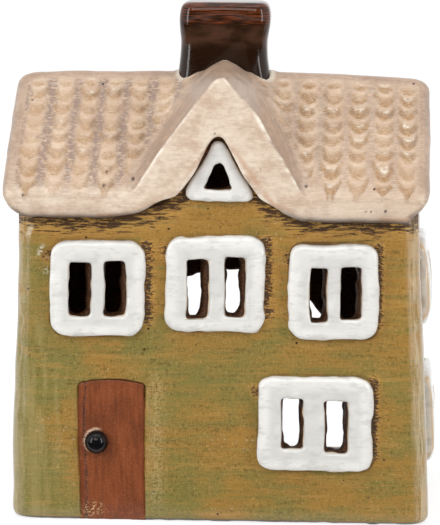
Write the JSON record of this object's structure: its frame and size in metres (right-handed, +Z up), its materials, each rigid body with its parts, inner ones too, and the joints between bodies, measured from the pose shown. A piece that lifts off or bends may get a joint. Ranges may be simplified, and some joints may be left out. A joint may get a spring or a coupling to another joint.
{
  "type": "tealight house",
  "caption": "Pottery cottage lantern with a tiled roof, front gable and chimney; a tealight slides in through an arch in the back and shines through the window slots.",
  "frame": {"origin": "on the table under the middle of the house", "axes": "+Z up, the front with the door and gable faces -Y, +X to the right of the door seen from the front"},
  "size_m": [0.1184, 0.0804, 0.1387],
  "materials": {
    "wall_glaze": "semi-gloss hand-painted olive and ochre glaze",
    "roof_glaze": "satin cream and taupe glaze",
    "chimney_glaze": "high-gloss dark brown glaze",
    "window_glaze": "gloss white glaze",
    "door_glaze": "semi-gloss terracotta brown glaze",
    "knob_glaze": "high-gloss black glaze",
    "bare_clay": "unglazed fired clay",
    "cup_metal": "thin pressed sheet",
    "wax": "white paraffin wax",
    "wick_cotton": "waxed cotton",
    "sustainer_metal": "thin tinned sheet"
  },
  "bodies": {
    "house": {"front_wall": "wall_glaze", "back_wall": "wall_glaze", "left_wall": "wall_glaze", "right_wall": "wall_glaze", "floor_slab": "bare_clay", "front_roof": "roof_glaze", "back_roof": "roof_glaze", "chimney": "chimney_glaze", "upper_left_window_frame": "window_glaze", "upper_middle_window_frame": "window_glaze", "upper_right_window_frame": "window_glaze", "lower_right_window_frame": "window_glaze", "right_side_upper_window_frame": "window_glaze", "right_side_lower_window_frame": "window_glaze", "left_side_upper_window_frame": "window_glaze", "left_side_lower_window_frame": "window_glaze", "attic_window_frame": "window_glaze", "door_panel": "door_glaze", "door_knob": "knob_glaze"},
    "tealight": {"tealight_cup": "cup_metal", "candle_wax": "wax", "wick": "wick_cotton", "wick_sustainer": "sustainer_metal"}
  },
  "joints": [
    {"name": "tealight_slide", "type": "slide", "parent": "house", "child": "tealight", "axis": [0, 1, 0], "range_m": [-0.01, 0.09]}
  ]
}
